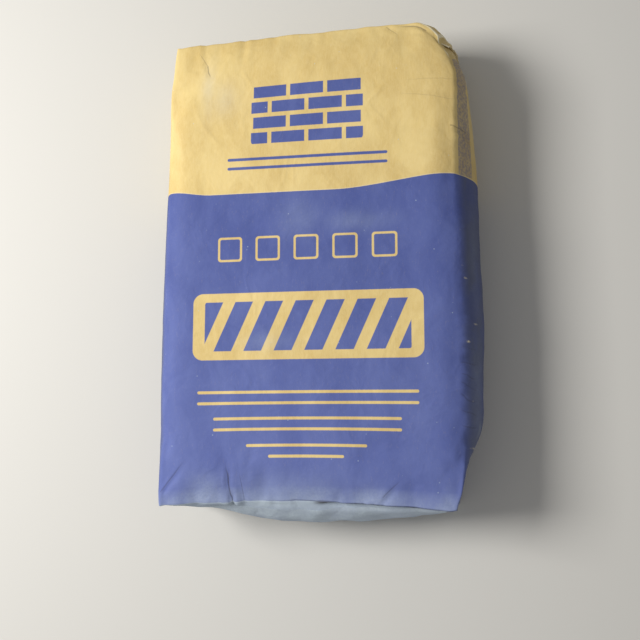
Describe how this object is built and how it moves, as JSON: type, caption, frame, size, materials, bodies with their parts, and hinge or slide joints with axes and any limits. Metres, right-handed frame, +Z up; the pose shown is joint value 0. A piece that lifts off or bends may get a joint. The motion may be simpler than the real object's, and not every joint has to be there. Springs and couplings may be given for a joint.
{
  "type": "filled cement bag",
  "caption": "Filled paper valve sack of cement with square folded ends, cover sheets glued over both ends and a paper valve sleeve in one corner.",
  "frame": {"origin": "on the floor, under the middle of the sack lying on its back", "axes": "+X to the right of the printed front, +Y along the sack towards the valve end, +Z up out of the printed front"},
  "size_m": [0.356, 0.5484, 0.112],
  "materials": {
    "printed_paper": "matt kraft paper, the lower two thirds printed in one blue ink, dusty and creased",
    "bottom_cover_paper": "blue printed paper, grey with cement dust",
    "top_cover_paper": "bare matt kraft paper",
    "sleeve_paper": "pale kraft paper, worn along its edges"
  },
  "bodies": {
    "root": {"sack_body": "printed_paper", "bottom_cover_sheet": "bottom_cover_paper", "top_cover_sheet": "top_cover_paper", "valve_sleeve": "sleeve_paper"}
  },
  "joints": []
}
